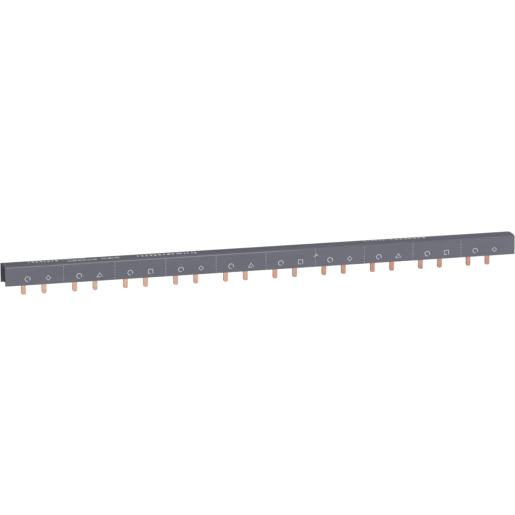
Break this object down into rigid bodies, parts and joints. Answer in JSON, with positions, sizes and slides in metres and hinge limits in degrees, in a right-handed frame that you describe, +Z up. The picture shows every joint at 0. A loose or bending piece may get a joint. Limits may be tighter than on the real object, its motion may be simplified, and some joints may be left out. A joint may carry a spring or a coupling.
{
  "type": "comb busbar",
  "caption": "Long insulating profile with nested copper combs inside, whose neutral and phase teeth come out below in one straight row to feed a row of modular devices.",
  "frame": {"origin": "mid length of the bar, in the plane of the teeth, level with the lower edges of the profile", "axes": "+X along the bar, -Y out of the printed front face, +Z up, away from the teeth"},
  "size_m": [0.4616, 0.0204, 0.0299],
  "materials": {
    "profile": "dark grey extruded plastic, satin, with fine lines along the bar",
    "copper": "bare copper, stamped edges, lightly drawn surface"
  },
  "bodies": {
    "root": {"housing": "profile", "neutral_comb": "copper", "phase_1_comb": "copper", "phase_2_comb": "copper", "phase_3_comb": "copper"}
  },
  "joints": []
}
